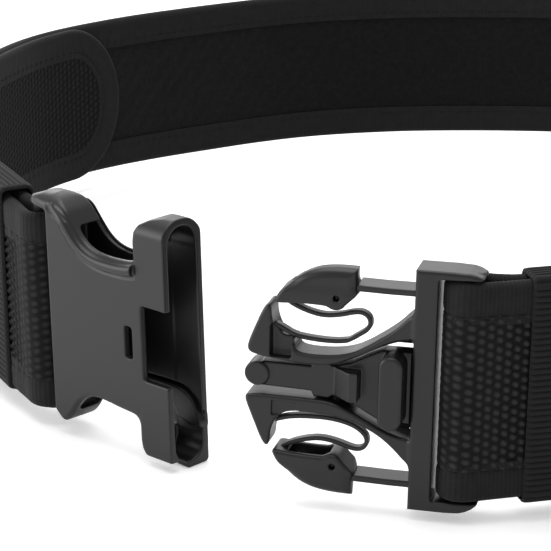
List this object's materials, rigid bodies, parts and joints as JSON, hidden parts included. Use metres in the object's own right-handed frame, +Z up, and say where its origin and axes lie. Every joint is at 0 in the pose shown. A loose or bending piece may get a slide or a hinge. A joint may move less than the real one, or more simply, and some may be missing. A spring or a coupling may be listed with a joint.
{
  "type": "webbing belt with side-release buckle",
  "caption": "Open padded webbing belt standing on edge as a ring, with a side-release buckle with side buttons and a centre latch, keepers and hook-and-loop strap tongues.",
  "frame": {"origin": "middle of the ring, on the surface the belt stands on, under the lowest edge of the socket", "axes": "+Z up across the belt; -Y towards the front, where the two buckle halves face each other with the socket on the -X side"},
  "size_m": [0.3378, 0.3376, 0.06],
  "materials": {
    "weave": "coarse honeycomb weave",
    "tongue": "coarse honeycomb weave",
    "binding": "fine ribbed tape",
    "core": "semi-rigid sheet",
    "loop": "brushed loop pile",
    "hook": "hook tape",
    "elastic": "ribbed elastic",
    "plastic": "satin moulded plastic"
  },
  "bodies": {
    "rear": {"rear_outer_panel": "weave", "rear_stiffener": "core", "rear_loop_lining": "loop", "rear_top_binding": "binding", "rear_bottom_binding": "binding", "left_tongue_rear": "tongue"},
    "left_side": {"left_outer_panel": "weave", "left_stiffener": "core", "left_loop_lining": "loop", "left_top_binding": "binding", "left_bottom_binding": "binding", "left_tongue": "tongue"},
    "right_side": {"right_outer_panel": "weave", "right_stiffener": "core", "right_loop_lining": "loop", "right_top_binding": "binding", "right_bottom_binding": "binding", "right_tongue": "tongue"},
    "left_tongue_tip": {"left_tongue_end": "tongue", "left_hook_tape": "hook"},
    "right_tongue_tip": {"right_tongue_end": "tongue", "right_hook_tape": "hook"},
    "left_keeper_band": {"left_keeper": "elastic"},
    "right_keeper_band": {"right_keeper": "elastic"},
    "socket": {"socket_housing": "plastic"},
    "plug": {"plug_frame": "plastic", "upper_leaf_spring": "plastic", "lower_leaf_spring": "plastic", "upper_hairpin_spring": "plastic", "lower_hairpin_spring": "plastic"},
    "upper_button": {"upper_release_button": "plastic"},
    "lower_button": {"lower_release_button": "plastic"},
    "latch": {"centre_latch": "plastic"}
  },
  "joints": [
    {"name": "left_side_open", "type": "hinge", "parent": "rear", "child": "left_side", "pos_m": [-0.16673, 0.00775, 0.0302], "axis": [0, 0, -1], "range_deg": [0, 25], "stiffness_Nm_per_rad": 0.4},
    {"name": "right_side_open", "type": "hinge", "parent": "rear", "child": "right_side", "pos_m": [0.16677, 0.01016, 0.0302], "axis": [0, 0, 1], "range_deg": [0, 25], "stiffness_Nm_per_rad": 0.4},
    {"name": "socket_swivel", "type": "hinge", "parent": "left_side", "child": "socket", "pos_m": [-0.12329, -0.1051, 0.0302], "axis": [0, 0, 1], "range_deg": [-12, 12]},
    {"name": "plug_swivel", "type": "hinge", "parent": "right_side", "child": "plug", "pos_m": [-0.02546, -0.1626, 0.0302], "axis": [0, 0, 1], "range_deg": [-12, 12]},
    {"name": "upper_button_press", "type": "slide", "parent": "plug", "child": "upper_button", "axis": [0, 0, -1], "range_m": [0, 0.0035], "stiffness_N_per_m": 2500, "deforming": ["upper_leaf_spring", "upper_hairpin_spring"]},
    {"name": "lower_button_press", "type": "slide", "parent": "plug", "child": "lower_button", "axis": [0, 0, 1], "range_m": [0, 0.0035], "stiffness_N_per_m": 2500, "deforming": ["lower_leaf_spring", "lower_hairpin_spring"]},
    {"name": "latch_press", "type": "hinge", "parent": "plug", "child": "latch", "pos_m": [-0.05721, -0.15648, 0.0302], "axis": [0, 0, 1], "range_deg": [0, 7], "stiffness_Nm_per_rad": 0.8},
    {"name": "left_keeper_slide", "type": "slide", "parent": "left_side", "child": "left_keeper_band", "axis": [-0.4352, 0.9003, 0], "range_m": [0, 0.003]},
    {"name": "right_keeper_slide", "type": "slide", "parent": "right_side", "child": "right_keeper_band", "axis": [0.9629, 0.27, 0], "range_m": [0, 0.006]},
    {"name": "left_tongue_peel", "type": "hinge", "parent": "rear", "child": "left_tongue_tip", "pos_m": [-0.15368, 0.06266, 0.0302], "axis": [0, 0, -1], "range_deg": [0, 25], "stiffness_Nm_per_rad": 0.05},
    {"name": "right_tongue_peel", "type": "hinge", "parent": "right_side", "child": "right_tongue_tip", "pos_m": [0.08053, -0.12963, 0.0302], "axis": [0, 0, 1], "range_deg": [0, 25], "stiffness_Nm_per_rad": 0.05}
  ]
}
